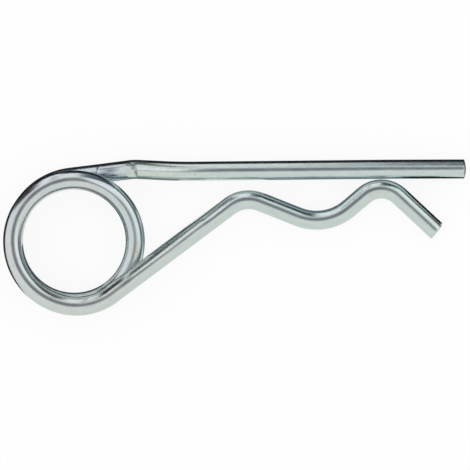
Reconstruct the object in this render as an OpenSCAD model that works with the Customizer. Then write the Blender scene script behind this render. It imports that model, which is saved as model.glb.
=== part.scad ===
// Double-coil R clip, or hitch pin clip, bent from one length of round spring wire.
// The origin is the centre of the ring, in the plane of the two legs. The legs point along +X, the
// straight one on the +Y side. The clip lies on its back turn and on the tip of its wavy leg, so the
// plane of the legs leans a few degrees off the surface. Lengths are in millimetres, angles in degrees.
// Radii of bends are those of the wire's centre line.

/* [Wire] */
// Diameter of the wire
wire_d = 5; // [4:0.25:5.5]

/* [Ring] */
// Inner diameter of the ring
ring_bore = 27; // [25:0.5:31]
// Gap between one turn of the coil and the next
turn_gap = 0.15; // [0.1:0.05:0.6]
// How much wider the coil has sprung open at its front end
front_flare = 1; // [0.3:0.1:1.6]
// How much wider the coil has sprung open at its back end
back_flare = 0.9; // [0.3:0.1:1.6]
// Angle that the flared arc at the front end covers
front_arc = 80; // [60:1:100]
// Radius of the arc that leads from the front end into the wavy leg
leave_r = 15.3; // [13:0.1:17]

/* [Straight leg] */
// Length of the whole clip along its legs
clip_length = 121; // [116:0.5:130]
// How far the leg's axis stands outside the ring's wire, at the outer crest
leg_rise = 2.8; // [2:0.1:3.6]
// Angle at which the leg slopes outwards up to the outer crest
leg_splay = 0.58; // [0.5:0.01:0.8]
// Angle at which it slopes outwards beyond the outer crest
end_splay = 0.22; // [0:0.01:0.35]
// Distance from the outer crest to the middle of the long bend between those two slopes
set_offset = 1; // [0:0.1:3]
// Angle at which the wire leaves the coil
exit_angle = 7; // [5:0.5:9]
// Length of straight wire between the coil and the first bend of the joggle
joggle_start = 8; // [7:0.5:9]
// Distance from the ring's centre to the second bend of the joggle
joggle_x = 15.6; // [15:0.1:18]
// Radius of the joggle's two bends
joggle_r = 5; // [4:0.5:6]
// Distance from the ring's centre to the shallow dip after the joggle
dip_x = 27.3; // [25:0.1:30]
// Radius of the shallow dip
dip_r = 150; // [80:10:200]
// Depth of the mark that the bending tool has pressed into the second bend of the joggle
press_depth = 0.3; // [0.1:0.05:0.5]
// Length of that mark along the wire
press_length = 2.1; // [1.5:0.1:3]
// Angle at which the mark lies across the wire
press_slant = 12; // [0:1:20]
// Height of the low dome on the end of the leg
end_dome = 0.4; // [0.2:0.05:0.8]

/* [Wavy leg] */
// Diameter of the hitch pin that the clip closes round
pin_d = 21.3; // [20:0.1:24]
// Distance from the ring's centre to the hitch pin's axis
pin_x = 63.4; // [62:0.1:65]
// Distance from the ring's centre to the inner crest
inner_crest_x = 45.7; // [44:0.1:47]
// Gap between the inner crest and the straight leg
inner_gap = 2.6; // [2:0.1:3.4]
// Radius of the inner crest
inner_crest_r = 8.4; // [7:0.1:9]
// Distance from the ring's centre to the outer crest
outer_crest_x = 80.4; // [79.5:0.1:83]
// Gap between the outer crest and the straight leg
outer_gap = 0.16; // [0.1:0.02:1]
// Radius of the outer crest
outer_crest_r = 6.9; // [6:0.1:7.2]
// Angle at which the tip slopes away from the straight leg
tip_fall = 43; // [35:1:50]
// Length of the tip beyond the outer crest
tip_length = 13.6; // [10:0.1:16]
// How far off square the tip is cropped
crop_angle = 4; // [0:0.5:8]
// Length of straight wire between the coil and the bend that turns the leg down
settle_start = 5; // [4:0.5:6]
// Distance from the coil at which the leg has come down to the plane of the legs
settle_run = 31; // [28:0.5:33]
// Radius of the two bends of that slope
settle_r = 20; // [15:1:25]

/* [Hidden] */
$fn = 48;

wire_r = wire_d / 2;

// Where an arc of wire meets a straight, the arc is a hair thinner and ends inside the straight.
joint_gap = 0.005; // from the end of an arc to the joint
joint_lap = 0.03; // from the joint to the end of a straight
joint_chamfer = 0.01;
joint_step = 0.003; // how much thinner the arcs are

ring_r = ring_bore / 2 + wire_r;

// Straight leg, in the plane of the legs
leg_y = ring_r + leg_rise;
leg_end_x = clip_length - ring_r - wire_r;
set_x = outer_crest_x + set_offset;
set_r = 800;
dome_r = (pow(wire_r, 2) + pow(end_dome, 2)) / (2 * end_dome);

// Wavy leg, in the plane of the legs: circles that are joined by their inner tangents
seat_c = [pin_x, leg_axis_y(pin_x)];
seat_r = pin_d / 2 + wire_r;
inner_c = [inner_crest_x, leg_axis_y(inner_crest_x) - wire_d - inner_gap - inner_crest_r];
outer_c = [outer_crest_x, leg_axis_y(outer_crest_x) - wire_d - outer_gap - outer_crest_r];

// Coil, from the front end to the back end, clockwise and downwards. Both flared arcs touch the whole
// turn at its far left.
far_left = 180;
front_c = [front_flare, 0];
front_r = ring_r + front_flare;
front_end = far_left + front_arc;
leave_c = front_c + (front_r - leave_r) * spoke(front_end);
back_c = [back_flare, 0];
back_r = ring_r + back_flare;

// Headings of the wavy leg's four straights
rise_1 = tangent_heading(leave_c, leave_r, inner_c, inner_crest_r, 1);
fall_1 = tangent_heading(inner_c, inner_crest_r, seat_c, seat_r, -1);
rise_2 = tangent_heading(seat_c, seat_r, outer_c, outer_crest_r, 1);
fall_2 = -tip_fall;

// The coil's arcs: centre, radius, angle of the start and angle covered
leave_start = rise_1 - 90;
back_end = exit_angle + 90;
coil = [
    [leave_c, leave_r, leave_start, leave_start - front_end + 360],
    [front_c, front_r, front_end, front_arc],
    [[0, 0], ring_r, far_left, 360],
    [back_c, back_r, far_left, far_left - back_end]
];

// A helix is made of short plane arcs that lean over and meet without a kink. The lean comes from the
// drop of the whole turn, and the wire's slope where two arcs meet is the same all along the coil.
arc_max = 90;
whole_turn = coil[2];
turn_lean = atan((wire_d + turn_gap) / (arc_count(whole_turn) * chord(whole_turn)));
slope = asin(sin(turn_lean) * cos(plane_half(half_arc(whole_turn), turn_lean)));
coil_top = total([for (a = coil) drop(a)]) / 2;

// Corners of the straight leg, from the coil to its end
back_point = [each back_c + back_r * spoke(back_end), -coil_top];
back_heading = [each cos(slope) * spoke(exit_angle), -sin(slope)];
leg_corners = [
    back_point,
    back_point + joggle_start * back_heading,
    [joggle_x, back_point.y + (joggle_x - back_point.x) * tan(exit_angle), 0],
    [dip_x, leg_axis_y(dip_x), 0],
    [set_x, leg_axis_y(set_x), 0],
    [leg_end_x, leg_axis_y(set_x) + (leg_end_x - set_x) * tan(end_splay), 0]
];
leg_radii = [0, joggle_r, joggle_r, dip_r, set_r, 0];
joggle_top = 2; // which corner is the second bend of the joggle

// Corners of the wavy leg, from the coil to its tip
front_point = [each leave_c + leave_r * spoke(leave_start), coil_top];
front_heading = [each cos(slope) * spoke(rise_1), sin(slope)];
tip_start = outer_c + outer_crest_r * spoke(fall_2 + 90);
tip_end = tip_start + tip_length * spoke(fall_2);
crop_spare = wire_r * tan(crop_angle); // wire beyond the middle of the cropped end
wavy_corners = [
    front_point,
    front_point + settle_start * front_heading,
    [front_point.x + settle_run * cos(rise_1), front_point.y + settle_run * sin(rise_1), 0],
    [each corner(inner_c, inner_crest_r, rise_1, fall_1), 0],
    [each corner(seat_c, seat_r, fall_1, rise_2), 0],
    [each corner(outer_c, outer_crest_r, rise_2, fall_2), 0],
    [each tip_end + crop_spare * spoke(fall_2), 0]
];
wavy_radii = [0, settle_r, settle_r, inner_crest_r, seat_r, outer_crest_r, 0];

// The three points of the wire that the clip lies on: where the joggle starts, where the whole turn is
// straight below the ring's centre, and the tip
rest_joggle = leg_corners[1] - cut(leg_corners, leg_radii, 1) * back_heading;
far_left_to_bottom = 0.75; // of the whole turn
rest_coil = [0, -ring_r, coil_top - drop(coil[0]) - drop(coil[1]) - far_left_to_bottom * drop(whole_turn)];
rest_tip = [each tip_end, 0];
rest_up = unit(cross(rest_tip - rest_coil, rest_joggle - rest_coil));

function unit(v) = v / norm(v);
function spoke(a) = [cos(a), sin(a)];
function total(v) = len(v) == 0 ? 0 : v * [for (x = v) 1];

// Height of the straight leg's axis above the ring's centre, between the dip and the outer crest
function leg_axis_y(x) = leg_y + (x - outer_crest_x) * tan(leg_splay);

// Heading of the line that leaves circle 1 and meets circle 2 on its other side. turn is 1 where the
// wire turns left round circle 1, and -1 where it turns right.
function tangent_heading(c1, r1, c2, r2, turn) =
    atan2(c2.y - c1.y, c2.x - c1.x) + turn * asin((r1 + r2) / norm(c2 - c1));

// Where two straights would meet that a circle rounds off, from their headings
function corner(c, r, h1, h2) = c + sign(h2 - h1) * r / cos((h2 - h1) / 2) * spoke((h1 + h2) / 2 - 90);

// Short arcs of the coil: how many there are, half the angle and the chord of each as seen from above,
// their lean, half their angle in their own plane, and the drop of them all
function arc_count(a) = ceil(a[3] / arc_max);
function half_arc(a) = a[3] / arc_count(a) / 2;
function chord(a) = 2 * a[1] * sin(half_arc(a));
function lean(a) = acos(cos(slope) / sqrt(1 + pow(sin(slope) * tan(half_arc(a)), 2)));
function plane_half(half, lean) = atan(tan(half) * cos(lean));
function drop(a) = arc_count(a) * chord(a) * tan(lean(a));

// Length that a bend takes from each of the straights at corner i
function cut(corners, radii, i) =
    radii[i] == 0 ? 0 : radii[i] * tan(turn_angle(corners, i) / 2);
function heading(corners, i) = unit(corners[i + 1] - corners[i]);
function turn_angle(corners, i) =
    atan2(norm(cross(heading(corners, i - 1), heading(corners, i))),
          heading(corners, i - 1) * heading(corners, i));

// An arc of wire about point c. It starts in direction u from c, runs in direction v, and covers angle a.
module wire_arc(c, u, v, r, a) {
    w = cross(u, v);
    short = atan(joint_gap / r);
    multmatrix([[u.x, v.x, w.x, c.x], [u.y, v.y, w.y, c.y], [u.z, v.z, w.z, c.z]])
        rotate(short) rotate_extrude(angle = a - 2 * short) translate([r, 0]) circle(r = wire_r - joint_step);
}

// A straight length of wire from point p on, in direction d. It runs on a little into the arcs that it
// joins, with a chamfer at each end, and where two arcs meet, that is all there is of it.
module wire_straight(p, d, length) {
    translate(p) rotate([0, acos(d.z), atan2(d.y, d.x)]) rotate_extrude() polygon([
        [0, -joint_lap],
        [wire_r - joint_chamfer, -joint_lap],
        [wire_r, joint_chamfer - joint_lap],
        [wire_r, length + joint_lap - joint_chamfer],
        [wire_r - joint_chamfer, length + joint_lap],
        [0, length + joint_lap]
    ]);
}

// Wire along a chain of corners, with a bend of the stated radius at each corner between its two ends
module bent_wire(corners, radii) {
    last = len(corners) - 1;
    for (i = [0 : last - 1]) {
        d = heading(corners, i);
        from = cut(corners, radii, i);
        to = norm(corners[i + 1] - corners[i]) - cut(corners, radii, i + 1);
        wire_straight(corners[i] + from * d, d, to - from);
    }
    for (i = [1 : last - 1]) {
        d = heading(corners, i - 1);
        next = heading(corners, i);
        inwards = unit(next - d * (next * d));
        start = corners[i] - d * cut(corners, radii, i);
        wire_arc(start + inwards * radii[i], -inwards, d, radii[i], turn_angle(corners, i));
    }
}

// What is taken off the end of the straight leg to leave a low dome
module doming() {
    end = leg_corners[len(leg_corners) - 1];
    translate(end) rotate([0, 90, end_splay]) difference() {
        translate([0, 0, -2 * end_dome]) cylinder(h = 3 * end_dome, r = wire_d);
        translate([0, 0, -dome_r]) sphere(r = dome_r);
    }
}

// What the bending tool presses out of the outside of the second bend of the joggle
module press_mark() {
    i = joggle_top;
    into = heading(leg_corners, i - 1);
    from = heading(leg_corners, i);
    outwards = unit(into - from);
    along = unit(into + from);
    across = cross(outwards, along);
    middle = leg_corners[i] - outwards * leg_radii[i] * (1 / cos(turn_angle(leg_corners, i) / 2) - 1);
    floor_at = middle + outwards * (wire_r - press_depth);
    multmatrix([for (k = [0 : 2]) [along[k], across[k], outwards[k], floor_at[k]]])
        rotate(press_slant) translate([-press_length / 2, -wire_r, 0]) cube([press_length, wire_d, wire_r]);
}

// What is cropped off the tip of the wavy leg
module cropping() {
    translate([each tip_end, 0]) rotate(fall_2 + crop_angle) translate([0, -wire_d, -wire_d])
        cube([wire_d, 2 * wire_d, 2 * wire_d]);
}

// One arc of the coil, whose start is at height z. The first one starts at a leg and the others at an arc.
module coil_arc(a, z, first) {
    n = arc_count(a);
    half = half_arc(a);
    leaning = lean(a);
    own_half = plane_half(half, leaning);
    own_r = a[1] * cos(half) / (cos(own_half) * pow(cos(leaning), 2));
    for (i = [0 : n - 1]) {
        m = a[2] - (2 * i + 1) * half;
        out = [cos(m), sin(m), 0];
        along = [sin(m) * cos(leaning), -cos(m) * cos(leaning), -sin(leaning)];
        c = [a[0].x, a[0].y, z - (i + 0.5) * drop(a) / n]
            - out * own_r * cos(own_half) * pow(sin(leaning), 2);
        u = cos(own_half) * out - sin(own_half) * along;
        v = sin(own_half) * out + cos(own_half) * along;
        wire_arc(c, u, v, own_r, 2 * own_half);
        if (!first || i > 0) wire_straight(c + own_r * u, v, 0);
    }
}

// The bent wire, with the plane of its legs level
module wire() {
    for (k = [0 : len(coil) - 1])
        coil_arc(coil[k], coil_top - total([for (j = [0 : 1 : k - 1]) drop(coil[j])]), k == 0);
    bent_wire(leg_corners, leg_radii);
    bent_wire(wavy_corners, wavy_radii);
}

// The clip as it lies, with its three points of rest level
module clip() {
    color("silver") rotate(a = acos(rest_up.z), v = cross(rest_up, [0, 0, 1])) difference() {
        wire();
        press_mark();
        doming();
        cropping();
    }
}

clip();
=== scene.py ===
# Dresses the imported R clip: a finely swept wire with its zinc-plated finish, on a pale studio floor.
import math
import bpy
import numpy as np
from mathutils import Matrix, Vector


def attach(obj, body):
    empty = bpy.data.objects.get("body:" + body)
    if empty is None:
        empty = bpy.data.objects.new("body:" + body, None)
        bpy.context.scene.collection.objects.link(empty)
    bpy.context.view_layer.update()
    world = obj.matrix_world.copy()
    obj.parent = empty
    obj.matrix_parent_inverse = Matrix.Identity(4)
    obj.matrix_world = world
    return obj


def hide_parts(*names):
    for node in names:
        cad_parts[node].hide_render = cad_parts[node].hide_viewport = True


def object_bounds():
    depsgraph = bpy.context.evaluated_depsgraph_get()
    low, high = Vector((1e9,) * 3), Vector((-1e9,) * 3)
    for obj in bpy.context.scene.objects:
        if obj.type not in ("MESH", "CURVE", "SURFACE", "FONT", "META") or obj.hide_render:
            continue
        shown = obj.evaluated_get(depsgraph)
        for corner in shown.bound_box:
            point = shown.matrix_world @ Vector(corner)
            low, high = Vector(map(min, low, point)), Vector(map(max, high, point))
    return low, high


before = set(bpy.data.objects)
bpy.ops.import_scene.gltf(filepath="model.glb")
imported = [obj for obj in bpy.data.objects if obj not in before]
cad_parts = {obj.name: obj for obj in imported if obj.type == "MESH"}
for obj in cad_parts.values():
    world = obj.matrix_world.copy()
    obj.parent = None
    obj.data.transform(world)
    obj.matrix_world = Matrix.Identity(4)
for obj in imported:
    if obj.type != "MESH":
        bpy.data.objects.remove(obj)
cad_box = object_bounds()

MM = 0.001

# ---------------------------------------------------------------- sizes of the clip, in millimetres
# They repeat those of the CAD source, which this script can't read. Angles are in degrees.

WIRE_D = 5.0
RING_BORE = 27.0
TURN_GAP = 0.15
FRONT_FLARE = 1.0
BACK_FLARE = 0.9
FRONT_ARC = 80.0
LEAVE_R = 15.3
CLIP_LENGTH = 121.0
LEG_RISE = 2.8
LEG_SPLAY = 0.58
END_SPLAY = 0.22
SET_OFFSET = 1.0
SET_R = 800.0
EXIT_ANGLE = 7.0
JOGGLE_START = 8.0
JOGGLE_X = 15.6
JOGGLE_R = 5.0
DIP_X = 27.3
DIP_R = 150.0
PRESS_DEPTH = 0.3
PRESS_LENGTH = 2.1
PRESS_SLANT = 12.0
END_DOME = 0.4
PIN_D = 21.3
PIN_X = 63.4
INNER_CREST_X = 45.7
INNER_GAP = 2.6
INNER_CREST_R = 8.4
OUTER_CREST_X = 80.4
OUTER_GAP = 0.16
OUTER_CREST_R = 6.9
TIP_FALL = 43.0
TIP_LENGTH = 13.6
CROP_ANGLE = 4.0
SETTLE_START = 5.0
SETTLE_RUN = 31.0
SETTLE_R = 20.0
ARC_MAX = 90.0
FAR_LEFT = 180.0
LEFT_TO_FOOT = 0.75  # of the whole turn, from the ring's far left to its foot

WIRE_R = WIRE_D / 2
RING_R = RING_BORE / 2 + WIRE_R
LEG_END_X = CLIP_LENGTH - RING_R - WIRE_R
SET_X = OUTER_CREST_X + SET_OFFSET


# ---------------------------------------------------------------- centre line of the wire
# The frame of the legs: the ring's centre is the origin, the legs lie in the plane z = 0.

LEVEL = np.array([0, 0, 1.0])


def sin(angle):
    return math.sin(math.radians(angle))


def cos(angle):
    return math.cos(math.radians(angle))


def tan(angle):
    return math.tan(math.radians(angle))


def unit(v):
    return v / np.linalg.norm(v)


def spoke(angle):
    """Unit vector in the legs' plane, at an angle from +X."""
    return np.array([cos(angle), sin(angle), 0.0])


def leg_axis(x):
    """Point of the straight leg's axis between the dip and the outer crest."""
    return np.array([x, RING_R + LEG_RISE + (x - OUTER_CREST_X) * tan(LEG_SPLAY), 0.0])


def tangent_heading(centre_1, radius_1, centre_2, radius_2, turn):
    """Heading of the line that leaves circle 1 and meets circle 2 on its other side. turn is 1 where the
    wire turns left round circle 1, and -1 where it turns right."""
    between = centre_2 - centre_1
    lean = math.asin((radius_1 + radius_2) / np.linalg.norm(between))
    return math.degrees(math.atan2(between[1], between[0]) + turn * lean)


def corner(centre, radius, heading_1, heading_2):
    """Where two straights of these headings would meet that the circle rounds off."""
    turn = heading_2 - heading_1
    return centre + np.sign(turn) * radius / cos(turn / 2) * spoke((heading_1 + heading_2) / 2 - 90)


class Straight:
    """A straight run. at gives the place and the heading at a distance s along a run."""

    def __init__(self, start, end):
        self.start = start
        self.way = unit(end - start)
        self.length = np.linalg.norm(end - start)

    def at(self, s):
        return self.start + s * self.way, self.way


class Bend:
    """An arc about centre, from direction out on, that starts in direction along and covers an angle."""

    def __init__(self, centre, out, along, radius, angle):
        self.centre = centre
        self.out = out
        self.along = along
        self.radius = radius
        self.length = radius * math.radians(angle)

    def at(self, s):
        a = s / self.radius
        place = self.centre + self.radius * (math.cos(a) * self.out + math.sin(a) * self.along)
        return place, math.cos(a) * self.along - math.sin(a) * self.out


def reverse(runs):
    """The same runs, walked from their last point to their first."""
    back = []
    for run in reversed(runs):
        end, way = run.at(run.length)
        if isinstance(run, Straight):
            back.append(Straight(end, run.start))
        else:
            angle = math.degrees(run.length / run.radius)
            back.append(Bend(run.centre, unit(end - run.centre), -way, run.radius, angle))
    return back


def bent(corners, radii):
    """Straights and bends along a chain of corners."""
    ways = [unit(b - a) for a, b in zip(corners, corners[1:])]
    turns = [0.0] + [math.degrees(math.acos(min(1.0, a @ b))) for a, b in zip(ways, ways[1:])] + [0.0]
    cuts = [r * tan(t / 2) for r, t in zip(radii, turns)]
    runs = []
    for i, way in enumerate(ways):
        runs.append(Straight(corners[i] + way * cuts[i], corners[i + 1] - way * cuts[i + 1]))
        if i + 1 < len(ways):
            inwards = unit(ways[i + 1] - way * (ways[i + 1] @ way))
            start = corners[i + 1] - way * cuts[i + 1]
            runs.append(Bend(start + inwards * radii[i + 1], -inwards, way, radii[i + 1], turns[i + 1]))
    return runs


class Coil:
    """One arc of the coil as seen from above: centre, radius, angle of its start, angle covered. It is
    made of equal plane arcs that lean over to follow the helix."""

    def __init__(self, centre, radius, start, angle):
        self.centre = centre
        self.radius = radius
        self.start = start
        self.count = math.ceil(angle / ARC_MAX)
        self.half = angle / self.count / 2
        self.chord = 2 * radius * sin(self.half)

    def lean(self, slope):
        """How far the plane arcs lean where the helix falls at this slope."""
        return math.degrees(math.acos(cos(slope) / math.sqrt(1 + (sin(slope) * tan(self.half)) ** 2)))

    def drop(self, slope):
        """How far the wire falls over the arc."""
        return self.count * self.chord * tan(self.lean(slope))

    def bends(self, slope, z):
        """The plane arcs as bends, from the height z down."""
        lean = self.lean(slope)
        own_half = math.degrees(math.atan(tan(self.half) * cos(lean)))
        own_r = self.radius * cos(self.half) / (cos(own_half) * cos(lean) ** 2)
        step = self.drop(slope) / self.count
        runs = []
        for i in range(self.count):
            middle = self.start - (2 * i + 1) * self.half
            out = spoke(middle)
            along = np.array([sin(middle) * cos(lean), -cos(middle) * cos(lean), -sin(lean)])
            centre = self.centre + np.array([0, 0, z - (i + 0.5) * step])
            centre = centre - out * own_r * cos(own_half) * sin(lean) ** 2
            runs.append(Bend(centre, cos(own_half) * out - sin(own_half) * along,
                             sin(own_half) * out + cos(own_half) * along, own_r, 2 * own_half))
        return runs


def centre_line():
    """The runs of the wavy leg from its tip, of the coil and of the straight leg to its end, the straight
    leg's corners, and the direction that is up when the clip lies on a table."""
    seat_r = PIN_D / 2 + WIRE_R
    seat = leg_axis(PIN_X)
    inner = leg_axis(INNER_CREST_X) - np.array([0, WIRE_D + INNER_GAP + INNER_CREST_R, 0])
    outer = leg_axis(OUTER_CREST_X) - np.array([0, WIRE_D + OUTER_GAP + OUTER_CREST_R, 0])

    front = np.array([FRONT_FLARE, 0, 0])
    front_r = RING_R + FRONT_FLARE
    front_end = FAR_LEFT + FRONT_ARC
    leave = front + (front_r - LEAVE_R) * spoke(front_end)
    back = np.array([BACK_FLARE, 0, 0])
    back_r = RING_R + BACK_FLARE

    rise_1 = tangent_heading(leave, LEAVE_R, inner, INNER_CREST_R, 1)
    fall_1 = tangent_heading(inner, INNER_CREST_R, seat, seat_r, -1)
    rise_2 = tangent_heading(seat, seat_r, outer, OUTER_CREST_R, 1)

    leave_start = rise_1 - 90
    back_end = EXIT_ANGLE + 90
    arcs = [Coil(leave, LEAVE_R, leave_start, leave_start - front_end + 360),
            Coil(front, front_r, front_end, FRONT_ARC),
            Coil(np.zeros(3), RING_R, FAR_LEFT, 360),
            Coil(back, back_r, FAR_LEFT, FAR_LEFT - back_end)]
    whole = arcs[2]
    turn_lean = math.degrees(math.atan((WIRE_D + TURN_GAP) / (whole.count * whole.chord)))
    own_half = math.degrees(math.atan(tan(whole.half) * cos(turn_lean)))
    slope = math.degrees(math.asin(sin(turn_lean) * cos(own_half)))
    coil_top = sum(a.drop(slope) for a in arcs) / 2
    coil, z = [], coil_top
    for a in arcs:
        coil += a.bends(slope, z)
        z -= a.drop(slope)

    start = back + back_r * spoke(back_end) - coil_top * LEVEL
    way = cos(slope) * spoke(EXIT_ANGLE) - sin(slope) * LEVEL
    leg = [start, start + JOGGLE_START * way,
           np.array([JOGGLE_X, start[1] + (JOGGLE_X - start[0]) * tan(EXIT_ANGLE), 0]),
           leg_axis(DIP_X), leg_axis(SET_X),
           leg_axis(SET_X) + (LEG_END_X - SET_X) * np.array([1, tan(END_SPLAY), 0])]
    leg_runs = bent(leg, [0, JOGGLE_R, JOGGLE_R, DIP_R, SET_R, 0])

    start = leave + LEAVE_R * spoke(leave_start) + coil_top * LEVEL
    way = cos(slope) * spoke(rise_1) + sin(slope) * LEVEL
    tip = outer + OUTER_CREST_R * spoke(90 - TIP_FALL) + TIP_LENGTH * spoke(-TIP_FALL)
    down = start + SETTLE_RUN * spoke(rise_1)
    down[2] = 0
    wavy = [start, start + SETTLE_START * way, down,
            corner(inner, INNER_CREST_R, rise_1, fall_1), corner(seat, seat_r, fall_1, rise_2),
            corner(outer, OUTER_CREST_R, rise_2, -TIP_FALL), tip]
    wavy_runs = bent(wavy, [0, SETTLE_R, SETTLE_R, INNER_CREST_R, seat_r, OUTER_CREST_R, 0])

    # It lies on its tip, on the joggle and on the ring's foot
    joggle = leg_runs[1].at(0)[0]
    foot_z = coil_top - arcs[0].drop(slope) - arcs[1].drop(slope) - LEFT_TO_FOOT * whole.drop(slope)
    foot = np.array([0, -RING_R, foot_z])
    up = unit(np.cross(tip - foot, joggle - foot))
    return reverse(wavy_runs), coil, leg_runs, leg, up


WAVY, COIL, LEG, LEG_CORNERS, REST_UP = centre_line()
RUNS = WAVY + COIL + LEG
WIRE_LENGTH = sum(run.length for run in RUNS)

# The turn from the frame of the legs to the part's own, in which the clip lies level
LYING = Vector(REST_UP).rotation_difference(Vector((0, 0, 1))).to_matrix()


# ---------------------------------------------------------------- the swept wire
# Steps along the wire are in millimetres, and finer round the tool mark.

RING_STEP = 0.25
FINE_STEP = 0.1
FINE_RUNS = LEG[2:5]
AROUND = 56
TURN = np.linspace(0, 2 * math.pi, AROUND, endpoint=False)
UP_SHARE = np.cos(TURN)
RIGHT_SHARE = np.sin(TURN)

# Rounding of the two ends' edges, in millimetres. The tip's is wider towards the wire's right.
END_EDGE = 0.16
TIP_EDGE = 0.2
TIP_BEVEL = 0.45
TIP_BEVEL_POWER = 3
EDGE_STEPS = 5
CAP_STEPS = 8

# The photograph shows the tool mark turned this far round the wire from where the solid has it. Its two
# ends rise out of the flat at these slopes.
PRESS_TURN = 45.0
PRESS_RUN_OUT = 0.22
PRESS_WALL = 0.8


def stations():
    """Points and headings along the wire, with their distance from the tip."""
    rows, done = [], 0.0
    for run in RUNS:
        step = FINE_STEP if run in FINE_RUNS else RING_STEP
        count = max(1, round(run.length / step))
        for i in range(count):
            place, way = run.at(run.length * i / count)
            rows.append((done + run.length * i / count, place, way))
        done += run.length
    rows.append((done, *RUNS[-1].at(RUNS[-1].length)))
    return rows


def ring(place, way, up, radius, out):
    """One ring of points about the wire. out shifts each point along the wire."""
    right = np.cross(way, up)
    across = UP_SHARE[:, None] * up + RIGHT_SHARE[:, None] * right
    return place + np.outer(out, way) + across * np.reshape(radius, (-1, 1))


def straightened(s, radius, out):
    """Where the points of a ring lie on the wire before it was bent: along it, up and to its right."""
    return np.column_stack([s + out, radius * UP_SHARE, radius * RIGHT_SHARE])


def cap(edge, dome_height):
    """Radii and heights of the rings that close an end, from its wall inwards. edge is the radius of the
    rounding at each point of the ring."""
    rings = []
    for i in range(EDGE_STEPS + 1):
        a = 90 * i / EDGE_STEPS
        rings.append((WIRE_R - edge * (1 - cos(a)), edge * (sin(a) - 1)))
    inner = WIRE_R - edge
    for i in range(1, CAP_STEPS):
        share = 1 - i / CAP_STEPS
        rings.append((inner * share, domed(share, dome_height) + np.zeros(AROUND)))
    return rings


def domed(share, dome_height):
    """Height over its rim of a dome as wide as the wire, at a share of its radius from the middle."""
    if not dome_height:
        return 0
    dome_r = (WIRE_R ** 2 + dome_height ** 2) / (2 * dome_height)
    return math.sqrt(dome_r ** 2 - WIRE_R ** 2 * share ** 2) - math.sqrt(dome_r ** 2 - WIRE_R ** 2)


def pressed(points):
    """The points with the flat that the bending tool has pressed into the second bend of the joggle."""
    before, at, after = LEG_CORNERS[1:4]
    into, away = unit(at - before), unit(after - at)
    bend_side, along = unit(into - away), unit(into + away)
    outwards = cos(PRESS_TURN) * bend_side + sin(PRESS_TURN) * np.cross(along, bend_side)
    across = np.cross(outwards, along)
    half_turn = math.degrees(math.acos(into @ away)) / 2
    middle = at - bend_side * JOGGLE_R * (1 / cos(half_turn) - 1)
    floor_at = middle + outwards * (WIRE_R - PRESS_DEPTH)
    slanted = cos(PRESS_SLANT) * along + sin(PRESS_SLANT) * across
    height = (points - floor_at) @ outwards
    place = (points - floor_at) @ slanted
    start = np.maximum(0, -PRESS_LENGTH / 2 - place) * PRESS_RUN_OUT
    end = np.maximum(0, place - PRESS_LENGTH / 2) * PRESS_WALL
    near = np.linalg.norm(points - floor_at, axis=-1) < WIRE_D
    cut = np.where(near, np.maximum(0, height - start - end), 0)
    return points - cut[..., None] * outwards


def sweep():
    """Rings of points from the middle of the cropped tip to the middle of the domed end, and their places
    on the straightened wire."""
    rows = stations()
    up = LEVEL
    rings, straight = [], []

    edges = TIP_EDGE + TIP_BEVEL * np.maximum(0, RIGHT_SHARE) ** TIP_BEVEL_POWER
    place, way = rows[0][1:]
    crop = -tan(CROP_ANGLE)
    for radius, height in reversed(cap(edges, 0)):
        out = -(height + radius * RIGHT_SHARE * crop)
        rings.append(ring(place, way, up, radius, out))
        straight.append(straightened(0, radius, out))

    tip_depth = TIP_EDGE + TIP_BEVEL + WIRE_R * tan(CROP_ANGLE)
    end_depth = END_DOME + END_EDGE
    full = np.full(AROUND, WIRE_R)
    none = np.zeros(AROUND)
    for s, place, way in rows:
        if s <= tip_depth:
            continue
        up = unit(up - way * (up @ way))
        if s < rows[-1][0] - end_depth:
            rings.append(ring(place, way, up, full, none))
            straight.append(straightened(s, full, none))

    s, place, way = rows[-1]
    for radius, height in cap(np.full(AROUND, END_EDGE), END_DOME):
        rings.append(ring(place, way, up, radius, height - END_DOME))
        straight.append(straightened(s, radius, height - END_DOME))
    return pressed(np.array(rings)), np.array(straight)


def wire_mesh():
    places, straight = sweep()
    rings = len(places)
    faces = []
    for i in range(rings - 1):
        for k in range(AROUND):
            a, b = i * AROUND + k, i * AROUND + (k + 1) % AROUND
            faces.append((a, b, b + AROUND, a + AROUND))
    faces.append(tuple(reversed(range(AROUND))))
    faces.append(tuple(range((rings - 1) * AROUND, rings * AROUND)))
    points = places.reshape(-1, 3) @ np.array(LYING).T * MM
    mesh = bpy.data.meshes.new("wire")
    mesh.from_pydata(points.tolist(), [], faces)
    mesh.shade_smooth()
    layer = mesh.attributes.new("straight", "FLOAT_VECTOR", "POINT")
    layer.data.foreach_set("vector", straight.reshape(-1))
    return mesh


wire = bpy.data.objects.new("wire", wire_mesh())
bpy.context.scene.collection.objects.link(wire)
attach(wire, "root")
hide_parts("clip")


# ---------------------------------------------------------------- building of materials

# Which sockets of a Mix node hold its colours
MIX_A = 6
MIX_B = 7
MIX_RESULT = 2


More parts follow.
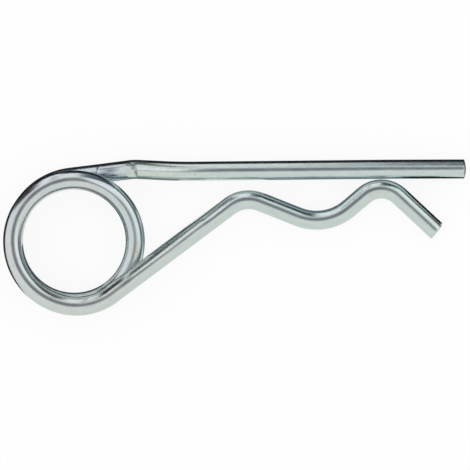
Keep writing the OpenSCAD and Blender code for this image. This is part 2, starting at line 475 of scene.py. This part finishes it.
class Nodes:
    """A new material and its nodes. An input takes a plain value, a socket, or a node, which gives its
    first output."""

    def __init__(self, name):
        self.material = bpy.data.materials.new(name)
        self.material.use_nodes = True
        self.tree = self.material.node_tree
        self.shader = self.tree.nodes["Principled BSDF"]
        self.surface = self.tree.nodes["Material Output"].inputs["Surface"]

    def add(self, kind, settings, inputs):
        """A node of a kind, with its settings by name and its inputs by name or number."""
        node = self.tree.nodes.new("ShaderNode" + kind)
        for name, value in settings.items():
            setattr(node, name, value)
        for name, value in inputs.items():
            self.feed(node.inputs[name], value)
        return node

    def feed(self, socket, value):
        if isinstance(value, bpy.types.Node):
            value = value.outputs[0]
        if isinstance(value, bpy.types.NodeSocket):
            self.tree.links.new(value, socket)
        else:
            socket.default_value = value

    def math(self, operation, *values):
        return self.add("Math", {"operation": operation}, dict(enumerate(values)))

    def vector_math(self, operation, *values):
        return self.add("VectorMath", {"operation": operation}, dict(enumerate(values)))

    def noise(self, where, scale, detail=2.0):
        return self.add("TexNoise", {}, {"Vector": where, "Scale": scale, "Detail": detail})

    def drawn_out(self, where, squeeze, scale, detail):
        """Noise that is drawn out along the wire, by squeezing its place there."""
        return self.noise(self.vector_math("MULTIPLY", where, (squeeze, 1, 1)), scale, detail)

    def span(self, value, reach, ends=(0.0, 1.0)):
        """A value's range of reach, spread between two ends."""
        return self.add("MapRange", {}, {"Value": value, "From Min": reach[0], "From Max": reach[1],
                                         "To Min": ends[0], "To Max": ends[1]})

    def tinted(self, colour, share, tint):
        """The colour with a share of the tint over it."""
        node = self.add("Mix", {"data_type": "RGBA"},
                        {"Factor": share, MIX_A: colour, MIX_B: (*tint, 1)})
        return node.outputs[MIX_RESULT]

    def spot(self, where, centre, reach):
        """1 at centre, falling to 0 at the reach in each direction."""
        off = self.vector_math("SUBTRACT", where, centre)
        share = self.vector_math("MULTIPLY", off, [1 / r for r in reach])
        length = self.vector_math("LENGTH", share)
        return self.span(length.outputs["Value"], (1.0, 0.0))

    def ramp(self, value, stops):
        """A colour that passes through stops, each a place from 0 to 1 and its colour."""
        node = self.add("ValToRGB", {}, {"Fac": value})
        elements = node.color_ramp.elements
        while len(elements) < len(stops):
            elements.new(0.5)
        for element, (place, colour) in zip(elements, stops):
            element.position = place
            element.color = (*colour, 1)
        return node


# ---------------------------------------------------------------- zinc plating
# Places on the wire are in millimetres: along it from the tip, up and to the right.

# Tint of the plating along the wire, each with its distance from the tip
TINTS = [
    (0, (0.72, 0.80, 0.78)),
    (60, (0.72, 0.80, 0.79)),
    (105, (0.76, 0.79, 0.77)),
    (135, (0.78, 0.79, 0.80)),
    (165, (0.76, 0.78, 0.81)),
    (185, (0.72, 0.80, 0.80)),
    (240, (0.74, 0.79, 0.81)),
    (264, (0.67, 0.75, 0.80)),
    (277, (0.67, 0.75, 0.79)),
    (282, (0.77, 0.81, 0.73)),
    (292, (0.74, 0.81, 0.77)),
    (306, (0.71, 0.80, 0.79)),
    (366, (0.71, 0.80, 0.80)),
]

# The tints wander to and fro along the wire by up to this much
DRIFT = 12.0
DRIFT_SCALE = 0.35

# Noises in the plating, each with its squeeze along the wire, its scale and its detail
PATCHES = (0.25, 0.5, 3.0)
CLOUDS = (0.3, 0.9, 4.0)
GRAIN = (0.7, 3.2, 3.0)
DRAWING_LINES = (0.04, 3.0, 3.0)
DULLNESS = (0.3, 0.8, 4.0)

# Layers of tint: the noise, the range of it that counts, the tint's share at the range's ends, the tint
WIDE_LAYERS = [
    (PATCHES, (0.52, 0.72), (0.0, 0.5), (0.78, 0.79, 0.70)),
    (CLOUDS, (0.35, 0.65), (0.0, 0.5), (0.63, 0.70, 0.74)),
]
FINE_LAYERS = [
    (GRAIN, (0.3, 0.5), (0.14, 0.0), (0.35, 0.37, 0.38)),
    (DRAWING_LINES, (0.3, 0.48), (0.08, 0.0), (0.45, 0.50, 0.53)),
]

STAIN_CENTRE = (190, 2.4, 0.3)
STAIN_REACH = (3.2, 1.6, 1.2)
STAIN_TINT = (0.66, 0.60, 0.42)
STAIN_SCALE = 1.3
STAIN_RANGE = (0.35, 0.6)

PIT_SCALE = 0.45
PIT_RANGE = (0.05, 0.12)
PIT_SHARES = (0.45, 0.0)
PIT_TINT = (0.3, 0.31, 0.32)

# Painted shade round the tool mark: a darker tint over its facet, dark spots in the shaded step at its far
# end and a dark smudge on the joggle before it, each with its centre, its reach, its share and its tint
FACET_SHADE_TINT = (0.60, 0.67, 0.66)
SHADE_AND_SMUDGE_TINT = (0.16, 0.19, 0.22)
MARK_SHADE_SPOTS = [
    ((279.1, 1.9, 1.6), (1.5, 2.0, 1.7), 0.6, FACET_SHADE_TINT),
    ((280.5, 2.4, 0.8), (0.5, 1.0, 0.8), 0.8, SHADE_AND_SMUDGE_TINT),
    ((281.0, 1.8, 1.8), (0.5, 1.5, 1.0), 0.9, SHADE_AND_SMUDGE_TINT),
    ((281.2, 1.0, 2.3), (0.4, 1.0, 0.9), 0.7, SHADE_AND_SMUDGE_TINT),
    ((274.6, 2.4, 0.8), (3.2, 2.0, 0.9), 0.9, SHADE_AND_SMUDGE_TINT),
]

DULLNESS_RANGE = (0.35, 0.7)
ROUGHNESS = (0.18, 0.25)
BUMP_STRENGTH = 0.08
BUMP_HEIGHT = 0.01


def plating_colour(nodes, where):
    """Tints that drift along the wire, patches, clouds, a stain, grain, drawing lines, pits, and spots of
    painted shade round the tool mark.
    """
    along = nodes.add("SeparateXYZ", {}, {"Vector": where}).outputs["X"]
    drift = nodes.math("MULTIPLY_ADD", nodes.noise(where, DRIFT_SCALE), 2 * DRIFT, -DRIFT)
    share = nodes.math("DIVIDE", nodes.math("ADD", along, drift), WIRE_LENGTH)
    colour = nodes.ramp(share, [(s / WIRE_LENGTH, tint) for s, tint in TINTS])
    for noise, reach, shares, tint in WIDE_LAYERS:
        colour = nodes.tinted(colour, nodes.span(nodes.drawn_out(where, *noise), reach, shares), tint)

    stain = nodes.spot(where, STAIN_CENTRE, STAIN_REACH)
    broken = nodes.span(nodes.noise(where, STAIN_SCALE), STAIN_RANGE)
    colour = nodes.tinted(colour, nodes.math("MULTIPLY", stain, broken), STAIN_TINT)
    for noise, reach, shares, tint in FINE_LAYERS:
        colour = nodes.tinted(colour, nodes.span(nodes.drawn_out(where, *noise), reach, shares), tint)

    pits = nodes.add("TexVoronoi", {"feature": "F1"}, {"Vector": where, "Scale": PIT_SCALE})
    share = nodes.span(pits.outputs["Distance"], PIT_RANGE, PIT_SHARES)
    colour = nodes.tinted(colour, share, PIT_TINT)
    # Spots of painted shade round the tool mark
    for centre, reach, share, tint in MARK_SHADE_SPOTS:
        spot = nodes.spot(where, centre, reach)
        colour = nodes.tinted(colour, nodes.math("MULTIPLY", spot, share), tint)
    return colour


def zinc():
    """Bright zinc plate on drawn wire. It is painted on the wire as it was before it was bent."""
    nodes = Nodes("zinc_plated_wire")
    where = nodes.add("Attribute", {"attribute_name": "straight"}, {}).outputs["Vector"]
    roughness = nodes.span(nodes.drawn_out(where, *DULLNESS), DULLNESS_RANGE, ROUGHNESS)
    bump = nodes.add("Bump", {}, {"Strength": BUMP_STRENGTH, "Distance": BUMP_HEIGHT * MM,
                                  "Height": nodes.drawn_out(where, *GRAIN)})
    nodes.feed(nodes.shader.inputs["Base Color"], plating_colour(nodes, where))
    nodes.feed(nodes.shader.inputs["Metallic"], 1)
    nodes.feed(nodes.shader.inputs["Roughness"], roughness)
    nodes.feed(nodes.shader.inputs["Normal"], bump)
    return nodes.material


wire.data.materials.append(zinc())


# ---------------------------------------------------------------- floor and world

FLOOR_Z = cad_box[0].z
FLOOR_SIZE = 8.0  # metres
FLOOR_WHITE = 0.96
FLOOR_ROUGHNESS = 0.9
FLOOR_GLOW = 0.88


def pale_floor():
    """Dull and nearly white. What the camera sees of it, directly or in the metal, is mostly its own white
    glow, so the shadows on it stay faint."""
    nodes = Nodes("floor")
    nodes.feed(nodes.shader.inputs["Base Color"], (FLOOR_WHITE, FLOOR_WHITE, FLOOR_WHITE, 1))
    nodes.feed(nodes.shader.inputs["Roughness"], FLOOR_ROUGHNESS)
    nodes.feed(nodes.shader.inputs["Specular IOR Level"], 0)
    rays = nodes.add("LightPath", {}, {})
    seen = nodes.math("ADD", rays.outputs["Is Camera Ray"], rays.outputs["Is Glossy Ray"])
    seen = nodes.math("ADD", seen, rays.outputs["Is Transmission Ray"])
    share = nodes.math("MULTIPLY", seen, FLOOR_GLOW)
    glow = nodes.add("Emission", {}, {})
    nodes.feed(nodes.surface, nodes.add("MixShader", {}, {0: share, 1: nodes.shader, 2: glow}))
    return nodes.material


bpy.ops.mesh.primitive_plane_add(size=FLOOR_SIZE, location=(0, 0, FLOOR_Z))
floor = bpy.context.active_object
floor.name = "floor"
floor.data.materials.append(pale_floor())

world = bpy.data.worlds.new("studio")
bpy.context.scene.world = world
world.use_nodes = True
world.node_tree.nodes["Background"].inputs["Color"].default_value = (1, 1, 1, 1)


# ---------------------------------------------------------------- cards round the table: painted reflections
# Pale, grey and black cards that glow, seen only in what the metal reflects. They light nothing and cast
# no
# shadow: they are painted reflections of the studio round the clip. Some stand on a dome round the clip,
# some stand or lie level nearer to it, and the others lie on the floor. Those on the dome are placed by
# azimuth, from +X to +Y, and by elevation from the plane of the legs, both in degrees. The others are
# placed in millimetres in the frame of the legs.

DOME_CENTRE = Vector((42.0, 0, 0)) * MM
DOME_R = 1.0
CARD_STEP = 3.0
ROUND_CARD_STEP = 15
PATH_STEPS = 8


def placed(point):
    """The place in the part's frame, in metres, of a point of the legs' frame."""
    return LYING @ (Vector(point) * MM)


def on_floor(point, lift):
    """The same, put down on the floor or a lift above it."""
    place = placed(point)
    return Vector((place.x, place.y, FLOOR_Z + lift * MM))


def on_dome(x, y, z, away):
    """Point of the dome in a direction of the legs' frame. away is its distance, in metres."""
    return LYING @ (DOME_CENTRE + away * Vector((x, y, z)))


def partway(a, b, share):
    return a + (b - a) * share


def blend(colour_1, colour_2, share):
    return tuple(partway(a, b, share) for a, b in zip(colour_1, colour_2))


def card_glow():
    """Light of the colour that is given at each point of a card."""
    nodes = Nodes("card")
    nodes.tree.nodes.remove(nodes.shader)
    colour = nodes.add("VertexColor", {"layer_name": "glow"}, {})
    nodes.feed(nodes.surface, nodes.add("Emission", {}, {"Color": colour}))
    return nodes.material


CARD_GLOW = card_glow()


def card(name, rows, colours):
    """A card through rows of places in the part's frame. Each row has its colour, blended to the next."""
    across = len(rows[0])
    faces = []
    for j in range(len(rows) - 1):
        for i in range(across - 1):
            k = j * across + i
            faces.append((k, k + 1, k + across + 1, k + across))
    mesh = bpy.data.meshes.new(name)
    mesh.from_pydata([tuple(place) for row in rows for place in row], [], faces)
    glow = mesh.color_attributes.new("glow", "FLOAT_COLOR", "POINT")
    for j, colour in enumerate(colours):
        for i in range(across):
            glow.data[j * across + i].color = (*colour, 1)
    mesh.materials.append(CARD_GLOW)
    item = bpy.data.objects.new(name, mesh)
    bpy.context.scene.collection.objects.link(item)
    item.visible_camera = False
    item.visible_diffuse = False
    item.visible_shadow = False
    item.visible_transmission = False
    item.visible_volume_scatter = False


def dome_card(name, azimuths, lowest, highest, colour, away=DOME_R, colour_2=None):
    """A card on the dome between two azimuths, with its lowest and highest elevation at each of the two.
    colour_2 is the colour at its second azimuth, if that differs."""
    columns = math.ceil((azimuths[1] - azimuths[0]) / CARD_STEP)
    steps = math.ceil((max(highest) - min(lowest)) / CARD_STEP)
    rows, colours = [], []
    for i in range(columns + 1):
        share = i / columns
        a = partway(*azimuths, share)
        low = partway(*lowest, share)
        high = partway(*highest, share)
        heights = [low + (high - low) * j / steps for j in range(steps + 1)]
        rows.append([on_dome(cos(a) * cos(h), sin(a) * cos(h), sin(h), away) for h in heights])
        colours.append(blend(colour, colour_2 or colour, share))
    card(name, rows, colours)


def round_card(name, centre, radii, colours, away):
    """A round card near the top of the dome, with one colour for each circle from its centre to its rim.
    Its centre and radii are in shares of the dome's radius."""
    rows = []
    for j in range(len(colours)):
        share = j / (len(colours) - 1)
        row = []
        for a in range(0, 360 + ROUND_CARD_STEP, ROUND_CARD_STEP):
            x = centre[0] + radii[0] * share * cos(a)
            y = centre[1] + radii[1] * share * sin(a)
            row.append(on_dome(x, y, math.sqrt(1 - x * x - y * y), away))
        rows.append(row)
    card(name, rows, colours)


def flat_card(name, corners, colour):
    """A flat card anywhere, from its four corners."""
    a, b, c, d = [placed(point) for point in corners]
    card(name, [[a, b], [d, c]], [colour] * 2)


def fence_card(name, posts, colour):
    """An upright card along posts. Each post is its x, its y, its lowest z and its highest z."""
    rows = [[placed((x, y, low)), placed((x, y, high))] for x, y, low, high in posts]
    card(name, rows, [colour] * len(posts))


def floor_card(name, corners, colour, lift):
    """A card on the floor, with four corners. Where two overlap, the one with the greater lift is seen."""
    a, b, c, d = [on_floor((x, y, 0), lift) for x, y in corners]
    card(name, [[a, b], [d, c]], [colour] * 2)


def path_card(name, runs, widths, colour, lift, begin=0.0):
    """A card on the floor beside some runs of the wire, from below it to the left (or right, where its
    width is negative). widths are those at the runs' first and last points, and begin is the share of the
    runs that it leaves out at their start."""
    stops = [run.at(run.length * i / PATH_STEPS) for run in runs for i in range(PATH_STEPS + 1)]
    stops = stops[round(begin * len(stops)):]
    under, beside = [], []
    for i, (place, way) in enumerate(stops):
        left = Vector((-way[1], way[0], 0)).normalized()
        width = widths[0] + (widths[1] - widths[0]) * i / (len(stops) - 1)
        under.append(on_floor(place, lift))
        beside.append(on_floor(Vector(place) + width * left, lift))
    card(name, [under, beside], [colour] * 2)


# Glows of the cards: the colours of the painted reflections, and on the floor those of painted shadow
BLACK = (0.010, 0.012, 0.014)
DARK = (0.03, 0.05, 0.058)
TEAL = (0.06, 0.10, 0.12)
LENS = (0.17, 0.18, 0.20)
LOW = (0.79, 0.81, 0.78)
LEFT = (0.84, 0.84, 0.86)
RIGHT = (0.95, 1.0, 1.0)
BACK = (0.96, 0.97, 0.98)
INSIDE = (0.055, 0.075, 0.085)
INSIDE_RIGHT = (0.10, 0.14, 0.15)
SLOPE = (0.09, 0.125, 0.14)
BETWEEN = (0.17, 0.24, 0.27)
WEDGE = (0.20, 0.25, 0.27)
TABLE = (0.77, 0.80, 0.75)

# Pale cards in front, to the left and at the back
dome_card("card.low", azimuths=(230, 355), lowest=(-1, -1), highest=(85, 85), colour=LOW)
dome_card("card.low_left", azimuths=(190, 230), lowest=(-1, -1), highest=(85, 85),
          colour=LEFT, colour_2=LOW)
dome_card("card.left", azimuths=(125, 190), lowest=(0, -1), highest=(80, 80), colour=LEFT, away=1.02)
dome_card("card.back", azimuths=(86, 107.5), lowest=(0, 6), highest=(80, 80), colour=BACK, away=0.7)

# Pale wings for the long straight of the wavy leg, for its valley, for the ring's left and for the joggle
flat_card("card.slope_wing", [(-181, 300, -4), (-181, 300, 360), (-153, 300, 360), (-153, 300, -4)], BACK)
flat_card("card.valley_wing", [(-22, 150, 18), (-22, 150, 200), (17, 150, 200), (17, 150, 18)], BACK)
fence_card("card.ring_wing",
           [(-26, 50, -6, 90), (-17, 50, -6, 90), (-16, 50, -6, 7), (-9, 50, -6, 7)], BACK)
fence_card("card.joggle_wing", [(5, 50, -4, 16), (6, 60, -4, 25), (10, 100, -4, 60)], BACK)

# Dark cards low at the back
dome_card("card.dark_left", azimuths=(138, 152), lowest=(-8, -8), highest=(38, 5), colour=BLACK)
dome_card("card.dark_middle", azimuths=(108, 138), lowest=(-8, -8), highest=(54, 38), colour=BLACK)
dome_card("card.dark", azimuths=(52, 108), lowest=(-8, -8), highest=(24, 50), colour=DARK)
dome_card("card.dark_right", azimuths=(52, 86), lowest=(-8, -8), highest=(24, 58), colour=DARK, away=0.99)

# To the right, a pale card over a dark one
dome_card("card.right", azimuths=(5, 100), lowest=(20, 20), highest=(80, 80), colour=RIGHT, away=1.02)
dome_card("card.right_low", azimuths=(-15, 52), lowest=(-1, -1), highest=(24, 24), colour=TEAL)

# A grey patch overhead, a painted reflection of the camera's lens, seen in the middle of the wire
round_card("card.lens", centre=(-0.05, 0.16), radii=(0.46, 0.47),
           colours=(LENS, LENS, LENS, blend(LENS, LOW, 0.5), LOW), away=0.69)

# A grey fence behind the tool mark, and a pale card over it
fence_card("card.near_mark",
           [(7.5, 50, -6, 29), (13, 50, -6, 29), (14, 50, -6, 17), (19, 50, -6, 21),
            (21, 50, 4, 26), (24, 50, 16, 32), (27, 50, 21, 32), (31, 50, 25, 29)], SLOPE)
flat_card("card.near_top", [(9, 13, 50), (9, 47, 50), (32, 45, 50), (28, 13, 50)], BACK)

# Cards on the floor, seen in the outer edges of the wire. They are painted shadow: dark sheets where the
# clip's own shadow would lie, by and between the wires and beyond them, over a pale grey sheet that the
# metal sees in place of the white floor
path_card("shade.leg", LEG, widths=(80, 80), colour=BLACK, lift=0.3)
path_card("shade.ring_back", COIL[2:3], widths=(60, 400), colour=BLACK, lift=0.3)
path_card("shade.ring_right", COIL[3:4], widths=(24, 10), colour=WEDGE, lift=0.25)
floor_card("shade.wedge", [(17.5, 3), (21, -5), (34, 1.5), (34, 9)], WEDGE, lift=0.24)
path_card("shade.ring_left", COIL[1:2], widths=(0, 55), colour=BLACK, lift=0.3, begin=0.3)
path_card("shade.tip", WAVY[0:1], widths=(-300, -8), colour=BLACK, lift=0.3)
path_card("shade.between", WAVY[0:5], widths=(-16, -16), colour=BETWEEN, lift=0.2)
floor_card("shade.inside_right", [(8, -15), (22, -6), (12, 9), (0, 9)], INSIDE_RIGHT, lift=0.22)
floor_card("shade.slope", [(14, 9.8), (38, 17.6), (36, 19.5), (12, 19.5)], SLOPE, lift=0.27)
floor_card("shade.beyond", [(-36, 30), (-400, 280), (400, 1000), (160, 30)], DARK, lift=0.15)
path_card("shade.inside", COIL[0:2], widths=(-17, -17), colour=INSIDE, lift=0.2)
floor_card("shade.table", [(-1000, -1000), (-1000, 1000), (1000, 1000), (1000, -1000)], TABLE, lift=0.1)


# ---------------------------------------------------------------- camera
# It looks straight down on the plane of the legs. The picture's width and middle are in metres.

FRAME_WIDTH = 0.123
FRAME_CENTRE = Vector((0.0421, 0.0016, 0))
CAMERA_AWAY = 1.5
NEAREST_SEEN = 0.1
FARTHEST_SEEN = 20.0
camera = bpy.data.objects.new("camera", bpy.data.cameras.new("camera"))
bpy.context.scene.collection.objects.link(camera)
camera.data.lens = camera.data.sensor_width * CAMERA_AWAY / FRAME_WIDTH
camera.data.clip_start = NEAREST_SEEN
camera.data.clip_end = FARTHEST_SEEN
camera_at = LYING @ (FRAME_CENTRE + Vector((0, 0, CAMERA_AWAY)))
camera.matrix_world = Matrix.Translation(camera_at) @ LYING.to_4x4()
bpy.context.scene.camera = camera
bpy.context.scene.view_settings.view_transform = "Standard"
